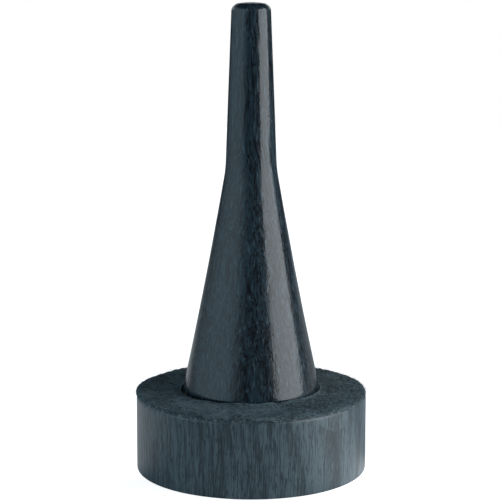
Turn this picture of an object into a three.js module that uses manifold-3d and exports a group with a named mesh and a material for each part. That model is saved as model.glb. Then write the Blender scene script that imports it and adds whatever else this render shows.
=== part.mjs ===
// Turned wooden stand peg for an upright wind instrument, in millimetres, +Z up.
// The origin is the centre of the underside of the base. A lacquered beech cone is
// glued by its tenon through a beech base disc. A felt ring lies round the foot of
// the cone on a film of adhesive, and a brass insert in the end of the tenon takes
// the M8 stud of a stand. Nothing on the object moves.

import * as THREE from 'three';
import { mergeVertices } from 'three/addons/utils/BufferGeometryUtils.js';
import Module from 'manifold-3d';

// Base disc
const BASE_RADIUS = 39.75;
const BASE_THICKNESS = 26.1;
const BASE_TOP_EASE = 0.4;
const BASE_BOTTOM_EASE = 0.7;
const BASE_BORE_RADIUS = 15.25;
const BASE_BORE_EASE = 0.75;

// Felt ring and its adhesive
const ADHESIVE_THICKNESS = 0.25;
const ADHESIVE_RADIUS = 39.5;
const FELT_THICKNESS = 1.45;
const FELT_RADIUS = 40;
const FELT_HOLE_RADIUS = 23.6;
const FELT_FLAT_RADIUS = 36;
const FELT_SHOULDER = { radius: 39.2, z: 27.4 };
const FELT_RIM_CORNER = { radius: 40, z: 27.35 };
const FELT_RIM_TOP = 26.85;

// Cone, from its foot on the base up to its tip
const PEG_TOP = 160.25;
const FOOT_RADIUS = 22.6;
const FOOT_LAND_TOP = 27.6;
const FOOT_ROUND_CORNER = { radius: 23.54, z: 28.6 };
const FLARE_FOOT = { radius: 23.25, z: 29.9 };
const FLARE_BOW = { radius: 15.66, z: 64.5 };
const FLARE_TOP = { radius: 9.2, z: 101.6 };
const BREAK_CORNER = { radius: 8.75, z: 104.2 };
const TAPER_FOOT = { radius: 8.62, z: 107.6 };
const TIP_SHOULDER = { radius: 6.67, z: 157.5 };
const TIP_CORNER = { radius: 6.4, z: 159.1 };
const TIP_FLAT_RADIUS = 4.6;

// Tenon under the foot of the cone
const TENON_RADIUS = 15;
const TENON_END = 0.5;
const TENON_CHAMFER = 1;

// Brass insert, and the thread that it cuts in the wood
const INSERT_BOTTOM = 1;
const INSERT_LENGTH = 18;
const INSERT_ROOT_RADIUS = 6.5;
const INSERT_CREST_RADIUS = 8;
const INSERT_PITCH = 4;
const INSERT_CHAMFER = 1.2;
const WOOD_CLEARANCE = 0.3;
const WOOD_HOLE_SPARE = 3;
const SLOT_WIDTH = 2;
const SLOT_DEPTH = 2.5;

// M8 coarse thread through the insert
const STUD_PITCH = 1.25;
const STUD_ROOT_RADIUS = 3.36;
const STUD_CREST_RADIUS = 4.05;
const STUD_COUNTERSINK = 0.8;

// Sides of a full turn
const TURNED_SIDES = 64;
const THREAD_SIDES = 24;

const ADHESIVE_TOP = BASE_THICKNESS + ADHESIVE_THICKNESS;
const FELT_TOP = ADHESIVE_TOP + FELT_THICKNESS;
const INSERT_TOP = INSERT_BOTTOM + INSERT_LENGTH;

const wasm = await Module();
wasm.setup();

const at = (radius, z) => new THREE.Vector2(radius, z);
const atPoint = ({ radius, z }) => at(radius, z);

// A body turned about Z. The outline is (radius, z), and climbs on its outer side.
const turned = (outline) =>
  new THREE.LatheGeometry(outline, TURNED_SIDES).rotateX(Math.PI / 2);

// A smooth stretch of outline that leaves and meets its ends pointing at the corner.
const curve = (from, corner, to, steps) =>
  new THREE.QuadraticBezierCurve(from, corner, to).getPoints(steps);

const toSolid = (geometry) => {
  const bare = geometry.clone();
  bare.deleteAttribute('normal');
  bare.deleteAttribute('uv');
  const merged = mergeVertices(bare, 1e-4);
  return new wasm.Manifold(new wasm.Mesh({
    numProp: 3,
    vertProperties: new Float32Array(merged.attributes.position.array),
    triVerts: new Uint32Array(merged.index.array),
  }));
};

const toGeometry = (solid) => {
  const mesh = solid.getMesh();
  const geometry = new THREE.BufferGeometry();
  geometry.setAttribute('position', new THREE.BufferAttribute(mesh.vertProperties, 3));
  geometry.setIndex(new THREE.BufferAttribute(mesh.triVerts, 1));
  geometry.computeVertexNormals();
  return geometry;
};

// One pitch of a thread is a list of steps of (radius, height). A wood thread has a wide
// flat root and a narrow crest, and a machine thread runs up and down in a sharp V.
const woodThread = (rootRadius, crestRadius, pitch) => [
  { radius: rootRadius, height: 0 },
  { radius: rootRadius, height: pitch * 0.3 },
  { radius: crestRadius, height: pitch * 0.6 },
  { radius: crestRadius, height: pitch * 0.7 },
];
const machineThread = (rootRadius, crestRadius, pitch) => [
  { radius: rootRadius, height: 0 },
  { radius: crestRadius, height: pitch * 0.5 },
];

// A right-hand screw about Z that starts one pitch below the bottom and ends above the
// top. The grid of its surface has one column for each angle, and its rows climb by one
// pitch in a full turn, so the last column meets the first one a pitch higher up.
const screw = (steps, pitch, bottom, top) => {
  const rowsPerPitch = steps.length;
  const rowsPerColumn = rowsPerPitch * (Math.ceil((top - bottom) / pitch) + 1) + 1;
  const start = bottom - pitch;
  const positions = [];
  const addVertex = (column, row) => {
    const step = steps[row % rowsPerPitch];
    const turns = column / THREAD_SIDES + Math.floor(row / rowsPerPitch);
    const angle = 2 * Math.PI * column / THREAD_SIDES;
    positions.push(step.radius * Math.cos(angle), step.radius * Math.sin(angle),
      start + pitch * turns + step.height);
  };
  for (let column = 0; column < THREAD_SIDES; column++) {
    for (let row = 0; row < rowsPerColumn; row++) addVertex(column, row);
  }
  for (let row = rowsPerColumn; row < rowsPerColumn + rowsPerPitch; row++) addVertex(0, row);
  const lowCentre = positions.length / 3;
  const highCentre = lowCentre + 1;
  positions.push(0, 0, start, 0, 0, top + 2 * pitch);

  const firstColumnRest = THREAD_SIDES * rowsPerColumn;
  const vertex = (column, row) => {
    if (column === THREAD_SIDES) return vertex(0, row + rowsPerPitch);
    if (row < rowsPerColumn) return column * rowsPerColumn + row;
    return firstColumnRest + row - rowsPerColumn;
  };
  const faces = [];
  const lastRow = rowsPerColumn - 1;
  for (let column = 0; column < THREAD_SIDES; column++) {
    for (let row = 0; row < lastRow; row++) {
      const corner = vertex(column + 1, row + 1);
      faces.push(vertex(column, row), vertex(column + 1, row), corner);
      faces.push(vertex(column, row), corner, vertex(column, row + 1));
    }
    faces.push(lowCentre, vertex(column + 1, 0), vertex(column, 0));
    faces.push(highCentre, vertex(column, lastRow), vertex(column + 1, lastRow));
  }
  for (let row = 0; row < rowsPerPitch; row++) {
    faces.push(lowCentre, vertex(0, row), vertex(0, row + 1));
    faces.push(highCentre, vertex(0, lastRow + row + 1), vertex(0, lastRow + row));
  }
  const geometry = new THREE.BufferGeometry();
  geometry.setAttribute('position', new THREE.Float32BufferAttribute(positions, 3));
  geometry.setIndex(faces);
  return toSolid(geometry);
};

// A bar with chamfered ends, which trims a screw to its length.
const trimmingBar = (radius, bottom, top, chamfer) => toSolid(turned([
  at(0, bottom),
  at(radius - chamfer, bottom),
  at(radius, bottom + chamfer),
  at(radius, top - chamfer),
  at(radius - chamfer, top),
  at(0, top),
]));

const insertThread = (clearance, top) => screw(
  woodThread(INSERT_ROOT_RADIUS + clearance, INSERT_CREST_RADIUS + clearance, INSERT_PITCH),
  INSERT_PITCH, INSERT_BOTTOM, top);

const makeInsert = () => {
  const outside = insertThread(0, INSERT_TOP)
    .intersect(trimmingBar(INSERT_CREST_RADIUS, INSERT_BOTTOM, INSERT_TOP, INSERT_CHAMFER));
  const studThread = screw(machineThread(STUD_ROOT_RADIUS, STUD_CREST_RADIUS, STUD_PITCH),
    STUD_PITCH, INSERT_BOTTOM, INSERT_TOP);
  const countersink = toSolid(turned([
    at(0, INSERT_BOTTOM - STUD_COUNTERSINK),
    at(STUD_CREST_RADIUS + STUD_COUNTERSINK, INSERT_BOTTOM - STUD_COUNTERSINK),
    at(STUD_CREST_RADIUS - STUD_COUNTERSINK, INSERT_BOTTOM + STUD_COUNTERSINK),
    at(0, INSERT_BOTTOM + STUD_COUNTERSINK),
  ]));
  const slot = toSolid(
    new THREE.BoxGeometry(2.5 * INSERT_CREST_RADIUS, SLOT_WIDTH, 2 * SLOT_DEPTH)
      .translate(0, 0, INSERT_BOTTOM));
  return toGeometry(outside.subtract(studThread).subtract(countersink).subtract(slot));
};

const makePegCone = () => {
  const outline = [
    at(0, TENON_END),
    at(TENON_RADIUS - TENON_CHAMFER, TENON_END),
    at(TENON_RADIUS, TENON_END + TENON_CHAMFER),
    at(TENON_RADIUS, BASE_THICKNESS),
    at(FOOT_RADIUS, BASE_THICKNESS),
    ...curve(at(FOOT_RADIUS, FOOT_LAND_TOP), atPoint(FOOT_ROUND_CORNER), atPoint(FLARE_FOOT), 5),
    ...curve(atPoint(FLARE_FOOT), atPoint(FLARE_BOW), atPoint(FLARE_TOP), 10).slice(1),
    ...curve(atPoint(FLARE_TOP), atPoint(BREAK_CORNER), atPoint(TAPER_FOOT), 4).slice(1),
    ...curve(atPoint(TIP_SHOULDER), atPoint(TIP_CORNER), at(TIP_FLAT_RADIUS, PEG_TOP), 5),
    at(0, PEG_TOP),
  ];
  const holeTop = INSERT_TOP + WOOD_HOLE_SPARE;
  const barRadius = INSERT_CREST_RADIUS + WOOD_CLEARANCE + INSERT_CHAMFER;
  const hole = insertThread(WOOD_CLEARANCE, holeTop)
    .intersect(trimmingBar(barRadius, INSERT_BOTTOM - INSERT_PITCH, holeTop, INSERT_CHAMFER));
  return toGeometry(toSolid(turned(outline)).subtract(hole));
};

const makeBaseDisc = () => turned([
  at(BASE_BORE_RADIUS + BASE_BORE_EASE, 0),
  at(BASE_RADIUS - BASE_BOTTOM_EASE, 0),
  ...curve(at(BASE_RADIUS - BASE_BOTTOM_EASE, 0), at(BASE_RADIUS, 0),
    at(BASE_RADIUS, BASE_BOTTOM_EASE), 3).slice(1),
  ...curve(at(BASE_RADIUS, BASE_THICKNESS - BASE_TOP_EASE), at(BASE_RADIUS, BASE_THICKNESS),
    at(BASE_RADIUS - BASE_TOP_EASE, BASE_THICKNESS), 2),
  at(BASE_BORE_RADIUS + BASE_BORE_EASE, BASE_THICKNESS),
  at(BASE_BORE_RADIUS, BASE_THICKNESS - BASE_BORE_EASE),
  at(BASE_BORE_RADIUS, BASE_BORE_EASE),
  at(BASE_BORE_RADIUS + BASE_BORE_EASE, 0),
]);

const makeFeltAdhesive = () => turned([
  at(FELT_HOLE_RADIUS, BASE_THICKNESS),
  at(ADHESIVE_RADIUS, BASE_THICKNESS),
  at(ADHESIVE_RADIUS, ADHESIVE_TOP),
  at(FELT_HOLE_RADIUS, ADHESIVE_TOP),
  at(FELT_HOLE_RADIUS, BASE_THICKNESS),
]);

const makeFeltRing = () => turned([
  at(FELT_HOLE_RADIUS, ADHESIVE_TOP),
  at(FELT_RADIUS, ADHESIVE_TOP),
  ...curve(at(FELT_RADIUS, FELT_RIM_TOP), atPoint(FELT_RIM_CORNER), atPoint(FELT_SHOULDER), 3),
  at(FELT_FLAT_RADIUS, FELT_TOP),
  at(FELT_HOLE_RADIUS, FELT_TOP),
  at(FELT_HOLE_RADIUS, ADHESIVE_TOP),
]);

const makeMesh = (name, geometry, color, roughness, metalness) => {
  const mesh = new THREE.Mesh(
    geometry, new THREE.MeshStandardMaterial({ color, roughness, metalness }));
  mesh.name = name;
  return mesh;
};

const standPeg = new THREE.Group();
standPeg.add(
  makeMesh('peg_cone', makePegCone(), 0x2f3d46, 0.32, 0),
  makeMesh('base_disc', makeBaseDisc(), 0x3f4c55, 0.38, 0),
  makeMesh('felt_ring', makeFeltRing(), 0x2a3640, 0.95, 0),
  makeMesh('felt_adhesive', makeFeltAdhesive(), 0x8d9296, 0.6, 0),
  makeMesh('threaded_insert', makeInsert(), 0xb79a5b, 0.35, 1),
);

export default standPeg;
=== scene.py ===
"""Turned wooden stand peg for an upright wind instrument: dark stained, lacquered beech, with a
felt ring round the foot of its cone and a brass insert underneath. Lengths are in metres."""

import math
import random

import bpy
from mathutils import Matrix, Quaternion, Vector, noise


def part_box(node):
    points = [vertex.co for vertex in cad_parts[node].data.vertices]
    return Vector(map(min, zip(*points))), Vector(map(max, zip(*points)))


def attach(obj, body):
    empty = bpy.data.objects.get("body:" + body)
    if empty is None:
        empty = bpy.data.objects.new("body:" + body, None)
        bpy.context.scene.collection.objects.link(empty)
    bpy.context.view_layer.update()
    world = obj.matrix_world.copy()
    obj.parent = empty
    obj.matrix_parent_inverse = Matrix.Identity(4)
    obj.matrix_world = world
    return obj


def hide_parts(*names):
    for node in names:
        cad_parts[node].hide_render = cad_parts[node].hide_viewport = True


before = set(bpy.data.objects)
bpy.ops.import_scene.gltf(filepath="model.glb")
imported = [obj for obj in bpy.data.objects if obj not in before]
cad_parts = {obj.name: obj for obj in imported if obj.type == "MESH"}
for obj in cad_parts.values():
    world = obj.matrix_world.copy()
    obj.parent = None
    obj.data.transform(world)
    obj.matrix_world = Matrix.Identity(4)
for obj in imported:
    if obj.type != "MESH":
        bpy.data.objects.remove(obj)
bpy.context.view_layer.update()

MM = 0.001
FULL_TURN = 2 * math.pi

# Boxes of the frame's pieces, which give the heights and outer radii used below
BASE_LOW, BASE_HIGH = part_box("base_disc")
CONE_LOW, CONE_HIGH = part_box("peg_cone")
FELT_LOW, FELT_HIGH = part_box("felt_ring")
INSERT_LOW, INSERT_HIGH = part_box("threaded_insert")
GLUE_LOW, GLUE_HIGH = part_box("felt_adhesive")

# Outline of the cone above the base, as (radius, height)
FOOT_RADIUS = 22.6 * MM
FOOT_LAND_TOP = 27.3 * MM
FOOT_ROUND_CORNER = (23.62 * MM, 27.8 * MM)
FLARE_FOOT = (23.5 * MM, 28.7 * MM)
FLARE_BOW = (15.66 * MM, 64.5 * MM)
FLARE_TOP = (9.2 * MM, 101.6 * MM)
BREAK_CORNER = (8.75 * MM, 104.2 * MM)
TAPER_FOOT = (8.62 * MM, 107.6 * MM)
TIP_SHOULDER = (6.67 * MM, 157.5 * MM)
TIP_CORNER = (6.4 * MM, 159.1 * MM)
TIP_FLAT_RADIUS = 4.6 * MM
TIP_DOME = 0.4 * MM

# Surface of turned and sanded wood, as a share of the radius, and the size of its unevenness
CONE_UNEVENNESS = 0.0022
CONE_LUMP_HEIGHT = 9 * MM
BASE_UNEVENNESS = 0.0012
BASE_LUMP_HEIGHT = 14 * MM

TENON_RADIUS = 15 * MM
TENON_CHAMFER = 1 * MM
BORE_RADIUS = 15.25 * MM
BORE_EASE = 0.75 * MM
BASE_BOTTOM_EASE = 0.7 * MM
BASE_TOP_EASE = 0.6 * MM
BASE_TOP_FALL = 1.5 * MM

# The felt ring. Its gap is where its upper part is pulled away from the foot of the cone, and its
# lip is the inner edge, which is turned up against the foot elsewhere.
FELT_HOLE_RADIUS = 23.66 * MM
FELT_HOLE_FOOT_RADIUS = 23.0 * MM
FELT_GAP = 0.9 * MM
FELT_GAP_ANGLE = math.radians(203)
FELT_GAP_REACH = 5 * MM
FELT_LIP = 0.7 * MM
FELT_LIP_WIDTH = 1.6 * MM
FELT_SHOULDER = (39.2 * MM, 27.4 * MM)
FELT_RIM_CORNER = (40 * MM, 27.35 * MM)
FELT_RIM_TOP = 26.85 * MM
FELT_FLAT_RADIUS = 36 * MM
FELT_UNDERCUT = 0.5 * MM
FELT_PULL = 0.15 * MM
FELT_EDGE = 0.4 * MM
FELT_SIDES = 640

FIBRE_SEED = 7
TOP_FIBRES = 5200
RIM_FIBRES = 1500

GLUE_SIDES = 720
GLUE_OVERHANG = 0.12 * MM
GLUE_RIPPLE = 0.10 * MM
GLUE_BEAD = 1.0 * MM
GLUE_BEAD_THRESHOLD = 0.42

INSERT_PITCH = 4 * MM
INSERT_ROOT_RADIUS = 6.5 * MM
INSERT_CHAMFER = 1.2 * MM
WOOD_CLEARANCE = 0.12 * MM
WOOD_HOLE_TOP = 22 * MM
STUD_PITCH = 1.25 * MM
STUD_ROOT_RADIUS = 3.36 * MM
STUD_CREST_RADIUS = 4.05 * MM
SLOT_WIDTH = 2 * MM
SLOT_DEPTH = 2.5 * MM

TURNED_SIDES = 224
THREAD_SIDES = 64

# Light of the room around the object
WALL_RADIANCE = 1.18
WALL_COLOUR = (0.61, 0.85, 1.0, 1)
ROOM_RADIANCE = 0.02
HAZE_RADIANCE = 0.06
POOL_RADIANCE = 0.8
LEFT_POOL_RADIANCE = 0.35
FLOOR_RADIUS = 1.3

CAMERA_PLACE = (-0.4 * MM, -566.5 * MM, 170.13 * MM)
CAMERA_DIP = math.radians(9.414)
CAMERA_LENS, CAMERA_SENSOR = 120.72, 36

YEAR_RING_WIDTH = 2.4


# ---------------------------------------------------------------- mesh helpers

def curve(start, corner, end, steps):
    """Points of a quadratic curve from start to end that points at the corner at both ends."""
    points = []
    for step in range(steps + 1):
        t = step / steps
        a, b, c = (1 - t) ** 2, 2 * t * (1 - t), t * t
        points.append((a * start[0] + b * corner[0] + c * end[0],
                       a * start[1] + b * corner[1] + c * end[1]))
    return points


def line(start, end, steps):
    """Evenly spaced points from start to end."""
    return [(start[0] + (end[0] - start[0]) * step / steps,
             start[1] + (end[1] - start[1]) * step / steps) for step in range(steps + 1)]


def joined(*stretches):
    """One outline from several stretches, without the points that two of them share."""
    outline = []
    for stretch in stretches:
        for point in stretch:
            if not outline or math.dist(outline[-1], point) > 1e-7:
                outline.append(point)
    return outline


def new_object(name, vertices, faces):
    mesh = bpy.data.meshes.new(name)
    mesh.from_pydata(vertices, [], faces)
    mesh.validate()
    mesh.update()
    piece = bpy.data.objects.new(name, mesh)
    bpy.context.scene.collection.objects.link(piece)
    return piece


def turned(name, outline, sides=TURNED_SIDES, shape=None):
    """A body turned about Z. The outline is (radius, height) and climbs on its outer side. It
    starts and ends on the axis, or its last point meets its first one again. shape may move
    each point: it takes (radius, height, angle) and returns the new (radius, height)."""
    closed = math.dist(outline[0], outline[-1]) < 1e-7
    points = outline[:-1] if closed else outline
    vertices, rings = [], []
    for radius, height in points:
        if radius < 1e-7:
            rings.append([len(vertices)] * sides)
            vertices.append((0, 0, height))
            continue
        rings.append([len(vertices) + side for side in range(sides)])
        for side in range(sides):
            angle = FULL_TURN * side / sides
            r, z = shape(radius, height, angle) if shape else (radius, height)
            vertices.append((r * math.cos(angle), r * math.sin(angle), z))
    if closed:
        rings.append(rings[0])
    faces = []
    for low, high in zip(rings, rings[1:]):
        for side in range(sides):
            after = (side + 1) % sides
            face = [low[side], low[after], high[after], high[side]]
            face = [v for k, v in enumerate(face) if v != face[k - 1]]
            if len(face) > 2:
                faces.append(face)
    return new_object(name, vertices, faces)


def shade(piece, material, sharp_angle=35):
    """Smooth shading with sharp edges above an angle, and the piece's material."""
    piece.data.materials.clear()
    piece.data.materials.append(material)
    piece.data.shade_smooth()
    piece.data.set_sharp_from_angle(angle=math.radians(sharp_angle))


def cut(piece, cutter):
    """Takes the cutter's volume out of the piece and removes the cutter."""
    modifier = piece.modifiers.new("cut", "BOOLEAN")
    modifier.operation = "DIFFERENCE"
    modifier.solver = "EXACT"
    modifier.object = cutter
    apply_modifiers(piece)
    bpy.data.objects.remove(cutter)


def apply_modifiers(piece):
    graph = bpy.context.evaluated_depsgraph_get()
    mesh = bpy.data.meshes.new_from_object(piece.evaluated_get(graph))
    piece.modifiers.clear()
    piece.data = mesh


def screw(name, steps, pitch, low, high, sides=THREAD_SIDES):
    """A right-hand screw about Z, a little longer than from low to high. steps is one pitch of
    its outline, as (radius, height) steps; the last column meets the first one a pitch up."""
    rows = len(steps) * (math.ceil((high - low) / pitch) + 1) + 1
    vertices = []

    def add_vertex(column, row):
        radius, height = steps[row % len(steps)]
        turns = column / sides + row // len(steps)
        angle = FULL_TURN * column / sides
        vertices.append((radius * math.cos(angle), radius * math.sin(angle),
                         low + pitch * (turns - 1) + height))

    for column in range(sides):
        for row in range(rows):
            add_vertex(column, row)
    for row in range(rows, rows + len(steps)):
        add_vertex(0, row)

    def vertex(column, row):
        if column == sides:
            return vertex(0, row + len(steps))
        return column * rows + row if row < rows else sides * rows + row - rows

    low_centre = len(vertices)
    vertices += [(0, 0, low - pitch), (0, 0, high + 2 * pitch)]
    faces = []
    for column in range(sides):
        for row in range(rows - 1):
            faces.append([vertex(column, row), vertex(column + 1, row),
                          vertex(column + 1, row + 1), vertex(column, row + 1)])
        faces.append([low_centre, vertex(column + 1, 0), vertex(column, 0)])
        faces.append([low_centre + 1, vertex(column, rows - 1), vertex(column + 1, rows - 1)])
    for row in range(len(steps)):
        faces.append([low_centre, vertex(0, row), vertex(0, row + 1)])
        faces.append([low_centre + 1, vertex(0, rows + row), vertex(0, rows - 1 + row)])
    return new_object(name, vertices, faces)


# ---------------------------------------------------------------- shader helpers

class Nodes:
    """Short calls for building one material's node tree."""

    def __init__(self, name):
        self.material = bpy.data.materials.new(name)
        self.material.use_nodes = True
        self.tree = self.material.node_tree
        self.shader = self.tree.nodes["Principled BSDF"]

    def add(self, kind, inputs=None, **settings):
        node = self.tree.nodes.new(kind)
        for key, value in settings.items():
            setattr(node, key, value)
        for key, value in (inputs or {}).items():
            self.put(node.inputs[key], value)
        return node

    def put(self, socket, value):
        if isinstance(value, bpy.types.NodeSocket):
            self.tree.links.new(value, socket)
        else:
            socket.default_value = value

    def maths(self, operation, *values):
        node = self.add("ShaderNodeMath", operation=operation)
        for socket, value in zip(node.inputs, values):
            self.put(socket, value)
        return node.outputs[0]

    def vector(self, operation, *values):
        node = self.add("ShaderNodeVectorMath", operation=operation)
        for socket, value in zip(node.inputs, values):
            self.put(socket, value)
        return node.outputs[0]

    def ramp(self, value, low, high, out_low=0.0, out_high=1.0):
        """Smoothly from out_low at low to out_high at high."""
        node = self.add("ShaderNodeMapRange", interpolation_type="SMOOTHSTEP", inputs={
            "Value": value, "From Min": low, "From Max": high,
            "To Min": out_low, "To Max": out_high})
        return node.outputs[0]

    def noise(self, vector, scale=1.0, detail=3.0, roughness=0.55):
        node = self.add("ShaderNodeTexNoise", inputs={
            "Vector": vector, "Scale": scale, "Detail": detail, "Roughness": roughness})
        return node.outputs[0]

    def mix(self, factor, first, second):
        node = self.add("ShaderNodeMix", data_type="RGBA")
        self.put(node.inputs[0], factor)
        self.put(node.inputs[6], first)
        self.put(node.inputs[7], second)
        return node.outputs[2]

    def bump(self, height, strength, distance, normal=None):
        inputs = {"Height": height, "Strength": strength, "Distance": distance}
        if normal is not None:
            inputs["Normal"] = normal
        return self.add("ShaderNodeBump", inputs=inputs).outputs[0]

    def set(self, **sockets):
        for key, value in sockets.items():
            self.put(self.shader.inputs[key.replace("_", " ")], value)


def millimetres(nodes, offset=(0, 0, 0)):
    """The place on the object, in millimetres."""
    place = nodes.add("ShaderNodeTexCoord").outputs["Object"]
    scaled = nodes.vector("MULTIPLY", place, (1000, 1000, 1000))
    return nodes.vector("ADD", scaled, offset)


def stained_beech(name, dark, light, pale, pith, lean, gloss, offset, lines, rings, peel,
                  sway, fineness):
    """Dark stained beech under clear lacquer, its grain along Z. pith is where the tree's centre
    runs, in millimetres, and lean its slope. pale is the colour of the lightest fibres, gloss
    the lacquer's roughness, lines and rings how strong its dark pores and growth rings are, and
    peel how far the lacquer's surface wavers. The grain sways by some millimetres, and fineness
    makes all its streaks smaller."""
    n = Nodes(name)
    place = millimetres(n, offset)
    height = n.add("ShaderNodeSeparateXYZ", inputs={0: place}).outputs[2]

    # The grain leans and wanders a little as it climbs
    climb = n.vector("MULTIPLY", place, (0.02, 0.02, 0.055))
    drift = n.add("ShaderNodeTexNoise", inputs={"Vector": climb, "Scale": 1.0, "Detail": 2.0})
    shift = n.vector("MULTIPLY", n.vector("SUBTRACT", drift.outputs["Color"], (0.5, 0.5, 0.5)),
                     (sway, sway, 0.0))
    grain = n.vector("ADD", place, shift)

    # Growth rings round a distant, slanting pith
    slant = n.add("ShaderNodeCombineXYZ", inputs={
        0: n.maths("MULTIPLY", height, lean[0]), 1: n.maths("MULTIPLY", height, lean[1])})
    across = n.vector("SUBTRACT", n.vector("ADD", grain, slant.outputs[0]), (*pith, 0))
    across = n.vector("MULTIPLY", across, (1, 1, 0))
    distance = n.add("ShaderNodeVectorMath", operation="LENGTH", inputs={0: across})
    ring = n.maths("FRACT", n.maths("DIVIDE", distance.outputs["Value"], YEAR_RING_WIDTH))
    late_wood = n.ramp(ring, 0.35, 0.98)

    def drawn_out(across_grain, along_grain, detail, roughness=0.55):
        across_grain, along_grain = across_grain * fineness, along_grain * fineness
        return n.noise(n.vector("MULTIPLY", grain, (across_grain, across_grain, along_grain)),
                       detail=detail, roughness=roughness)

    # Broad bands of stain, fibres, long thin pores and short flecks, all drawn out along Z
    band = drawn_out(0.16, 0.012, 2.0)
    fibre = drawn_out(1.1, 0.035, 4.0, 0.65)
    fine = drawn_out(2.4, 0.11, 2.0, 0.6)
    pore = n.ramp(drawn_out(2.6, 0.07, 1.0), 0.58, 0.68)
    fleck = n.ramp(drawn_out(1.4, 0.28, 1.5), 0.56, 0.68)
    bright = n.ramp(drawn_out(2.0, 0.13, 2.0), 0.54, 0.74)

    tone = n.maths("ADD", n.maths("MULTIPLY", band, 0.55), n.maths("MULTIPLY", fibre, 0.75))
    tone = n.maths("ADD", tone, n.maths("MULTIPLY", fine, 0.60))
    tone = n.maths("SUBTRACT", tone, n.maths("MULTIPLY", late_wood, rings))
    tone = n.maths("SUBTRACT", tone, n.maths("MULTIPLY", pore, lines))
    tone = n.maths("SUBTRACT", tone, n.maths("MULTIPLY", fleck, 0.20))
    colour = n.mix(n.ramp(tone, 0.71, 1.09), dark, light)
    colour = n.mix(n.maths("MULTIPLY", bright, 0.7), colour, pale)

    relief = n.maths("SUBTRACT", n.maths("ADD", n.maths("MULTIPLY", fibre, 0.6),
                                         n.maths("MULTIPLY", fine, 0.3)),
                     n.maths("MULTIPLY", n.maths("MAXIMUM", pore, fleck), 0.3))
    grain_bump = n.bump(relief, 0.5, 0.00012)
    skin = n.maths("ADD", n.noise(n.vector("MULTIPLY", place, (0.55, 0.55, 0.16)), detail=3.0),
                   n.maths("MULTIPLY", fine, 0.14))
    lacquer = n.bump(skin, peel, 0.0004, n.bump(relief, 0.25, 0.00012))
    n.set(Base_Color=colour, Normal=grain_bump, Coat_Normal=lacquer,
          Roughness=n.ramp(fibre, 0.3, 0.7, 0.60, 0.42), Specular_IOR_Level=0.1,
          Coat_Weight=1.0, Coat_Roughness=gloss, Coat_IOR=1.5)
    return n.material


def wool_felt(name):
    """Pressed wool felt: mottled, matte, specked with lighter lint, with a little sheen."""
    n = Nodes(name)
    place = millimetres(n)
    speck = n.noise(place, scale=1.5, detail=3.0, roughness=0.7)
    mottle = n.noise(place, scale=0.55, detail=3.0, roughness=0.6)
    patch = n.noise(place, scale=0.12, detail=2.0)
    tone = n.maths("ADD", n.maths("MULTIPLY", speck, 0.55), n.maths("MULTIPLY", mottle, 0.30))
    tone = n.maths("ADD", tone, n.maths("MULTIPLY", patch, 0.25))
    colour = n.mix(n.ramp(tone, 0.44, 0.66), (0.010, 0.022, 0.031, 1), (0.195, 0.262, 0.298, 1))
    lint = n.ramp(n.noise(n.vector("ADD", place, (31, 7, 2)), scale=1.3, detail=2.0), 0.66, 0.74)
    colour = n.mix(lint, colour, (0.34, 0.41, 0.45, 1))
    pile = n.noise(place, scale=1.6, detail=4.0, roughness=0.75)
    n.set(Base_Color=colour, Roughness=1.0, Specular_IOR_Level=0.15,
          Sheen_Weight=0.45, Sheen_Roughness=0.5, Sheen_Tint=(0.55, 0.68, 0.75, 1),
          Normal=n.bump(pile, 1.0, 0.0012))
    return n.material


def felt_fibre(name):
    n = Nodes(name)
    tone = n.noise(millimetres(n), scale=0.6, detail=2.0)
    colour = n.mix(n.ramp(tone, 0.3, 0.7), (0.016, 0.024, 0.030, 1), (0.055, 0.075, 0.088, 1))
    n.set(Base_Color=colour, Roughness=0.8, Specular_IOR_Level=0.3)
    return n.material


def dried_glue(name):
    n = Nodes(name)
    place = millimetres(n)
    cloud = n.noise(place, scale=0.8, detail=3.0)
    colour = n.mix(n.ramp(cloud, 0.50, 0.66), (0.06, 0.08, 0.09, 1), (0.45, 0.50, 0.52, 1))
    n.set(Base_Color=colour, Roughness=n.ramp(cloud, 0.3, 0.7, 0.35, 0.6),
          Normal=n.bump(n.noise(place, scale=4.0), 0.3, 0.0002))
    return n.material


def machined_brass(name):
    n = Nodes(name)
    place = millimetres(n)
    lines = n.noise(n.vector("MULTIPLY", place, (0.4, 0.4, 18.0)), detail=3.0)
    tarnish = n.noise(place, scale=0.25, detail=4.0)
    colour = n.mix(n.ramp(tarnish, 0.35, 0.7), (0.62, 0.44, 0.17, 1), (0.40, 0.28, 0.12, 1))
    n.set(Base_Color=colour, Metallic=1.0, Roughness=n.ramp(tarnish, 0.3, 0.75, 0.22, 0.42),
          Normal=n.bump(lines, 0.15, 0.0001))
    return n.material


# ---------------------------------------------------------------- pieces

def insert_steps(clearance):
    root = INSERT_ROOT_RADIUS + clearance
    crest = INSERT_HIGH.x + clearance
    return [(root, 0), (root, 0.3 * INSERT_PITCH), (crest, 0.6 * INSERT_PITCH),
            (crest, 0.7 * INSERT_PITCH)]


def trimming_bar(name, radius, low, high, chamfer):
    return turned(name, [(0, low), (radius - chamfer, low), (radius, low + chamfer),
                         (radius, high - chamfer), (radius - chamfer, high), (0, high)],
                  sides=2 * THREAD_SIDES)


def trimmed_screw(name, steps, pitch, low, high, radius, chamfer):
    """A screw cut to its length by a chamfered bar."""
    piece = screw(name, steps, pitch, low, high)
    bar = trimming_bar("bar", radius, low, high, chamfer)
    modifier = piece.modifiers.new("trim", "BOOLEAN")
    modifier.operation = "INTERSECT"
    modifier.solver = "EXACT"
    modifier.object = bar
    apply_modifiers(piece)
    bpy.data.objects.remove(bar)
    return piece


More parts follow.
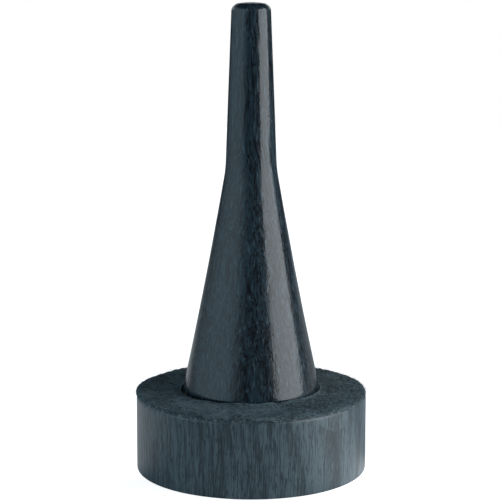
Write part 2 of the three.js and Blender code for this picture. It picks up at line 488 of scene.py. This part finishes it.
def make_cone(material):
    """The turned cone with its tenon, and the threaded hole in the tenon's end."""
    base_top = BASE_HIGH.z
    tip_top = CONE_HIGH.z
    end = CONE_LOW.z
    outline = joined(
        line((0, end), (TENON_RADIUS - TENON_CHAMFER, end), 3),
        line((TENON_RADIUS, end + TENON_CHAMFER), (TENON_RADIUS, base_top), 6),
        line((TENON_RADIUS, base_top), (FOOT_RADIUS, base_top), 2),
        curve((FOOT_RADIUS, FOOT_LAND_TOP), FOOT_ROUND_CORNER, FLARE_FOOT, 12),
        curve(FLARE_FOOT, FLARE_BOW, FLARE_TOP, 60),
        curve(FLARE_TOP, BREAK_CORNER, TAPER_FOOT, 12),
        line(TAPER_FOOT, TIP_SHOULDER, 40),
        curve(TIP_SHOULDER, TIP_CORNER, (TIP_FLAT_RADIUS, tip_top - TIP_DOME), 12),
        curve((TIP_FLAT_RADIUS, tip_top - TIP_DOME), (TIP_FLAT_RADIUS / 3, tip_top),
              (0, tip_top), 5),
    )

    def hand_sanded(radius, height, angle):
        if height <= base_top:
            return radius, height
        around = Vector((math.cos(angle) * 1.6, math.sin(angle) * 1.6, height / CONE_LUMP_HEIGHT))
        return radius * (1 + CONE_UNEVENNESS * noise.noise(around)), height

    piece = turned("turned_cone", outline, shape=hand_sanded)
    crest = INSERT_HIGH.x + WOOD_CLEARANCE
    low, high = INSERT_LOW.z, WOOD_HOLE_TOP
    hole = trimmed_screw("hole", insert_steps(WOOD_CLEARANCE), INSERT_PITCH,
                         low - INSERT_PITCH / 2, high, crest + MM, INSERT_CHAMFER)
    cut(piece, hole)
    shade(piece, material)
    return piece


def make_base(material):
    """The thick round base, bored for the tenon, with softly sanded edges."""
    radius, low, high = BASE_HIGH.x, BASE_LOW.z, BASE_HIGH.z
    outline = joined(
        line((BORE_RADIUS + BORE_EASE, low), (radius - BASE_BOTTOM_EASE, low), 10),
        curve((radius - BASE_BOTTOM_EASE, low), (radius, low), (radius, low + BASE_BOTTOM_EASE), 6),
        line((radius, low + BASE_BOTTOM_EASE), (radius, high - BASE_TOP_FALL), 24),
        curve((radius, high - BASE_TOP_FALL), (radius, high), (radius - BASE_TOP_EASE, high), 8),
        line((radius - BASE_TOP_EASE, high), (BORE_RADIUS + BORE_EASE, high), 4),
        line((BORE_RADIUS, high - BORE_EASE), (BORE_RADIUS, low + BORE_EASE), 4),
        [(BORE_RADIUS + BORE_EASE, low)],
    )

    def sanded(r, z, angle):
        if r < BORE_RADIUS + 2 * BORE_EASE:
            return r, z
        around = Vector((math.cos(angle) * 3.5, math.sin(angle) * 3.5, z / BASE_LUMP_HEIGHT))
        return r * (1 + BASE_UNEVENNESS * noise.noise(around)), z

    piece = turned("round_base", outline, shape=sanded)
    shade(piece, material)
    return piece


def make_felt(material):
    """The felt ring: its top and edges are lumpy, as pressed wool cut with a punch is."""
    low, high, radius = FELT_LOW.z, FELT_HIGH.z, FELT_HIGH.x
    rim = radius - FELT_PULL
    shoulder = (FELT_SHOULDER[0] - FELT_PULL, FELT_SHOULDER[1])
    outline = joined(
        line((FELT_HOLE_FOOT_RADIUS, low), (rim - FELT_UNDERCUT, low), 8),
        line((rim - FELT_UNDERCUT, low), (rim, low + 0.3 * MM), 2),
        line((rim, low + 0.3 * MM), (rim, FELT_RIM_TOP), 3),
        curve((rim, FELT_RIM_TOP), (rim, FELT_RIM_CORNER[1]), shoulder, 7),
        line(shoulder, (FELT_FLAT_RADIUS, high - 0.05 * MM), 14),
        line((FELT_FLAT_RADIUS, high - 0.05 * MM), (FELT_HOLE_RADIUS + FELT_EDGE, high), 56),
        curve((FELT_HOLE_RADIUS + FELT_EDGE, high), (FELT_HOLE_RADIUS, high),
              (FELT_HOLE_RADIUS, high - FELT_EDGE), 4),
        line((FELT_HOLE_RADIUS, high - FELT_EDGE), (FELT_HOLE_FOOT_RADIUS, low), 4),
    )

    def lumpy(r, z, angle):
        place = Vector((r * math.cos(angle), r * math.sin(angle), z))
        broad = noise.noise(place / (22 * MM))
        coarse = noise.noise(place / (7 * MM))
        pile = noise.noise(place / (1.3 * MM)) + 0.7 * noise.noise(place / (0.65 * MM))
        # 1 in the middle of the gap, and 0 on the far side
        loose = max(0.0, math.cos(angle - FELT_GAP_ANGLE)) ** 6
        if z > low + 0.35 * MM:
            z += 0.12 * MM * coarse + 0.20 * MM * pile
            near = max(0.0, 1 - (r - FELT_HOLE_RADIUS) / FELT_LIP_WIDTH)
            z += FELT_LIP * near * near * (1 - loose) * (1 + 0.8 * coarse)
        if r > rim - 1.0 * MM:
            r += 0.30 * MM * broad + 0.20 * MM * coarse + 0.14 * MM * pile
        # Only the felt's upper part is pulled away: its foot stays on the glue
        above = min(1.0, max(0.0, (z - low) / (high - low) - 0.15) / 0.6)
        inner = above * max(0.0, 1 - (r - FELT_HOLE_RADIUS) / FELT_GAP_REACH)
        r += inner * (FELT_GAP * loose * (1 + 0.6 * coarse) + 0.02 * MM * abs(coarse + pile))
        return r, z

    piece = turned("felt_washer", outline, sides=FELT_SIDES, shape=lumpy)
    shade(piece, material, sharp_angle=80)
    return piece


def make_fibres(material):
    """Loose fibres that lie on the felt's top and stand a little proud of its rim."""
    rng = random.Random(FIBRE_SEED)
    vertices, faces = [], []
    hole, rim, top = FELT_HOLE_RADIUS + FELT_GAP, FELT_HIGH.x - FELT_PULL, FELT_HIGH.z
    sides, links = 3, 3

    def strand(start, direction, lift, length, thickness, bend):
        """One fibre of a few straight links, each thinner and turned a little further."""
        first = len(vertices)
        place, rise = Vector(start), lift
        for link in range(links + 1):
            forward = Vector((math.cos(direction), math.sin(direction), rise)).normalized()
            side = forward.cross(Vector((0, 0, 1))).normalized()
            up = side.cross(forward)
            width = thickness * (1 - 0.75 * link / links)
            for k in range(sides):
                turn = FULL_TURN * k / sides
                vertices.append(place + width * (math.cos(turn) * side + math.sin(turn) * up))
            place = place + forward * (length / links)
            direction += bend
            rise -= abs(lift) * 0.9
        for link in range(links):
            for k in range(sides):
                a = first + link * sides + k
                b = first + link * sides + (k + 1) % sides
                faces.append((a, b, b + sides, a + sides))
        last = first + links * sides
        faces.append((first + 2, first + 1, first))
        faces.append((last, last + 1, last + 2))

    for _ in range(TOP_FIBRES):
        r = math.sqrt(rng.uniform(hole ** 2, rim ** 2))
        angle = rng.uniform(0, FULL_TURN)
        start = (r * math.cos(angle), r * math.sin(angle), top - 0.05 * MM)
        strand(start, rng.uniform(0, FULL_TURN), rng.uniform(0.1, 0.5),
               rng.uniform(0.6, 1.7) * MM, rng.uniform(0.012, 0.026) * MM, rng.gauss(0, 0.5))
    for _ in range(RIM_FIBRES):
        angle = rng.uniform(0, FULL_TURN)
        z = rng.uniform(FELT_LOW.z + 0.2 * MM, top - 0.1 * MM)
        start = ((rim - 0.1 * MM) * math.cos(angle), (rim - 0.1 * MM) * math.sin(angle), z)
        strand(start, angle + rng.choice((-1, 1)) * rng.uniform(0.5, 1.5),
               rng.uniform(-0.3, 0.6), rng.uniform(0.4, 1.1) * MM,
               rng.uniform(0.012, 0.024) * MM, rng.gauss(0, 0.5))
    piece = new_object("felt_fibres", vertices, faces)
    piece.data.materials.append(material)
    return piece


def make_glue(material):
    """The film of glue, with a wavering rim and small beads that squeezed out."""
    low, high, rim = GLUE_LOW.z, GLUE_HIGH.z, GLUE_HIGH.x
    hole = FELT_HOLE_RADIUS + 0.3 * MM
    outline = [(hole, low), (rim, low), (rim + 0.04 * MM, (low + high) / 2), (rim, high),
               (hole, high), (hole, low)]

    def wavering(r, z, angle):
        if r < rim - MM:
            return r, z
        around = Vector((math.cos(angle), math.sin(angle), 0))
        ripple = noise.noise(around * 14) + 0.6 * noise.noise(around * 42)
        bead = max(0.0, noise.noise(around * 30 + Vector((5, 3, 1))) - GLUE_BEAD_THRESHOLD)
        return r + GLUE_OVERHANG + GLUE_RIPPLE * ripple + GLUE_BEAD * bead, z

    piece = turned("glue_film", outline, sides=GLUE_SIDES, shape=wavering)
    shade(piece, material, sharp_angle=60)
    return piece


def make_insert(material):
    """The brass insert: wood thread outside, M8 thread inside, screwdriver slot below."""
    low, high = INSERT_LOW.z, INSERT_HIGH.z
    piece = trimmed_screw("brass_insert", insert_steps(0), INSERT_PITCH, low, high,
                          INSERT_HIGH.x, INSERT_CHAMFER)
    stud = screw("stud", [(STUD_ROOT_RADIUS, 0), (STUD_CREST_RADIUS, STUD_PITCH / 2)],
                 STUD_PITCH, low, high)
    cut(piece, stud)
    flare = STUD_CREST_RADIUS + 0.8 * MM
    cut(piece, turned("countersink", [(0, low - 0.8 * MM), (flare, low - 0.8 * MM),
                                      (flare - 1.6 * MM, low + 0.8 * MM), (0, low + 0.8 * MM)],
                      sides=THREAD_SIDES))
    half_width, half_length = SLOT_WIDTH / 2, 1.25 * INSERT_HIGH.x
    corners = [(x * half_length, y * half_width, low + z * SLOT_DEPTH)
               for z in (-1, 1) for y in (-1, 1) for x in (-1, 1)]
    slot = new_object("slot", corners, [(0, 2, 3, 1), (4, 5, 7, 6), (0, 1, 5, 4),
                                        (2, 6, 7, 3), (0, 4, 6, 2), (1, 3, 7, 5)])
    cut(piece, slot)
    shade(piece, material)
    return piece


# ---------------------------------------------------------------- stage

def make_floor():
    """A pale floor. The camera sees it nearly white, and quite white far out. What it reflects
    into the object is dimmer, but for a pool of light on the right and a weaker one on the left."""
    outline = [(0, -1 * MM), (FLOOR_RADIUS, -1 * MM), (FLOOR_RADIUS, 0), (0, 0)]
    floor = turned("floor", outline, sides=96)
    n = Nodes("pale_floor")
    place = n.add("ShaderNodeTexCoord").outputs["Object"]
    distance = n.add("ShaderNodeVectorMath", operation="LENGTH", inputs={0: place})
    glow = n.ramp(distance.outputs["Value"], 0.05, 0.3, 0.86, 1.0)
    bright = n.add("ShaderNodeEmission", inputs={"Color": (1, 1, 1, 1), "Strength": glow})
    paper = n.noise(millimetres(n), scale=0.02, detail=2.0)
    dim = n.mix(paper, (0.80, 0.80, 0.80, 1), (0.84, 0.84, 0.84, 1))
    x, y, _ = n.add("ShaderNodeSeparateXYZ", inputs={0: place}).outputs
    azimuth = n.maths("ARCTAN2", x, n.maths("MULTIPLY", y, -1.0))
    n.set(Base_Color=dim, Roughness=0.8, Specular_IOR_Level=0.0)
    pool = n.maths("MULTIPLY", n.ramp(azimuth, math.radians(28), math.radians(62)),
                   n.ramp(azimuth, math.radians(112), math.radians(78), 0.0, POOL_RADIANCE))
    left_pool = n.maths("MULTIPLY", n.ramp(azimuth, math.radians(-60), math.radians(-95)),
                        n.ramp(azimuth, math.radians(-170), math.radians(-140), 0.0,
                               LEFT_POOL_RADIANCE))
    pool = n.maths("MULTIPLY", n.maths("ADD", pool, left_pool),
                   n.ramp(distance.outputs["Value"], 0.5, 0.2))
    n.set(Emission_Color=(0.93, 0.97, 1.0, 1), Emission_Strength=pool)
    both = n.add("ShaderNodeAddShader")
    n.tree.links.new(n.shader.outputs[0], both.inputs[0])
    n.tree.links.new(bright.outputs[0], both.inputs[1])
    seen = n.add("ShaderNodeLightPath").outputs["Is Camera Ray"]
    mix = n.add("ShaderNodeMixShader", inputs={0: seen})
    n.tree.links.new(n.shader.outputs[0], mix.inputs[1])
    n.tree.links.new(both.outputs[0], mix.inputs[2])
    n.tree.links.new(mix.outputs[0], n.tree.nodes["Material Output"].inputs["Surface"])
    floor.data.materials.append(n.material)


def softbox(name, azimuth, height, distance, width, tall, radiance, roll, colour):
    """A rectangular light that faces the object. Azimuth 0 is in front, 90 on the right, and
    roll leans its top to the front."""
    light = bpy.data.lights.new(name, "AREA")
    light.shape = "RECTANGLE"
    light.size, light.size_y = width, tall
    light.energy = radiance * math.pi * width * tall
    light.color = colour
    lamp = bpy.data.objects.new(name, light)
    bpy.context.scene.collection.objects.link(lamp)
    turn_to = math.radians(azimuth)
    lamp.location = (distance * math.sin(turn_to), -distance * math.cos(turn_to), height)
    aim = Vector((0, 0, 70 * MM)) - lamp.location
    lamp.rotation_mode = "QUATERNION"
    turn = Quaternion((0, 0, 1), math.radians(roll))
    lamp.rotation_quaternion = aim.to_track_quat("-Z", "Y") @ turn
    lamp.visible_camera = False


def make_world():
    """A white room to look at. The object is lit by a dim room with a pale wall on its left and
    a pale strip behind it."""
    world = bpy.data.worlds.new("studio")
    bpy.context.scene.world = world
    world.use_nodes = True
    n = Nodes.__new__(Nodes)
    n.tree = world.node_tree
    n.tree.nodes.clear()
    direction = n.add("ShaderNodeTexCoord").outputs["Generated"]
    x, y, z = n.add("ShaderNodeSeparateXYZ", inputs={0: direction}).outputs
    azimuth = n.maths("ARCTAN2", x, n.maths("MULTIPLY", y, -1.0))
    leaning = n.maths("SUBTRACT", azimuth, n.maths("MULTIPLY", z, 0.7))
    wall_front = n.ramp(leaning, math.radians(-16), math.radians(-56))
    wall_back = n.ramp(azimuth, math.radians(-155), math.radians(-65))
    wall_top = n.ramp(z, 0.75, 0.40)
    wall = n.maths("MULTIPLY", n.maths("MULTIPLY", wall_front, wall_back), wall_top)
    haze = n.maths("MULTIPLY", n.ramp(z, 0.05, 0.22, 0.0, HAZE_RADIANCE), n.ramp(z, 0.6, 0.35))
    behind = n.maths("MULTIPLY", n.ramp(y, 0.25, 0.8), n.ramp(z, 0.08, 0.16, 0.0, 0.6))
    behind = n.maths("MULTIPLY", behind, n.ramp(z, 0.5, 0.3))
    haze = n.maths("ADD", haze, behind)
    dim = n.add("ShaderNodeBackground", inputs={
        "Color": (0.8, 0.93, 1.0, 1), "Strength": n.maths("ADD", haze, ROOM_RADIANCE)})
    pale = n.add("ShaderNodeBackground", inputs={
        "Color": WALL_COLOUR, "Strength": n.maths("MULTIPLY", wall, WALL_RADIANCE)})
    room = n.add("ShaderNodeAddShader")
    n.tree.links.new(dim.outputs[0], room.inputs[0])
    n.tree.links.new(pale.outputs[0], room.inputs[1])
    white = n.add("ShaderNodeBackground", inputs={"Color": (1, 1, 1, 1), "Strength": 1.0})
    seen = n.add("ShaderNodeLightPath").outputs["Is Camera Ray"]
    mix = n.add("ShaderNodeMixShader", inputs={0: seen})
    n.tree.links.new(room.outputs[0], mix.inputs[1])
    n.tree.links.new(white.outputs[0], mix.inputs[2])
    out = n.add("ShaderNodeOutputWorld")
    n.tree.links.new(mix.outputs[0], out.inputs["Surface"])


def make_camera():
    data = bpy.data.cameras.new("camera")
    data.lens, data.sensor_width = CAMERA_LENS, CAMERA_SENSOR
    camera = bpy.data.objects.new("camera", data)
    bpy.context.scene.collection.objects.link(camera)
    camera.location = CAMERA_PLACE
    camera.rotation_euler = (math.radians(90) - CAMERA_DIP, 0, 0)
    bpy.context.scene.camera = camera


make_camera()
make_world()
make_floor()
softbox("key_right", azimuth=72, height=0.42, distance=1.2, width=1.38, tall=0.95,
        radiance=3.35, roll=11, colour=(0.89, 0.96, 1.0))
bpy.context.scene.view_settings.view_transform = "Standard"

cone_wood = stained_beech(
    "cone_beech", (0.0005, 0.002, 0.004, 1), (0.022, 0.043, 0.060, 1), (0.082, 0.132, 0.165, 1),
    pith=(38, 22), lean=(0.02, 0.03), gloss=0.1, offset=(13, 5, 40), lines=0.15, rings=0.08,
    peel=0.22, sway=4.0, fineness=1.0)
base_wood = stained_beech(
    "base_beech", (0.026, 0.043, 0.054, 1), (0.110, 0.153, 0.177, 1), (0.146, 0.197, 0.221, 1),
    pith=(-4, 83), lean=(0.05, -0.05), gloss=0.36, offset=(61, 17, 9), lines=0.36, rings=0.12,
    peel=0.1, sway=2.6, fineness=1.3)

made = {
    "peg_cone": (make_cone(cone_wood), "cone_wood"),
    "base_disc": (make_base(base_wood), "base_wood"),
    "felt_ring": (make_felt(wool_felt("felt")), "felt"),
    "felt_adhesive": (make_glue(dried_glue("glue")), "adhesive"),
    "threaded_insert": (make_insert(machined_brass("brass")), "insert_brass"),
}
for node, (piece, slot) in made.items():
    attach(piece, "root")
    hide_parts(node)
fibres = make_fibres(felt_fibre("felt_fibre"))
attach(fibres, "root")
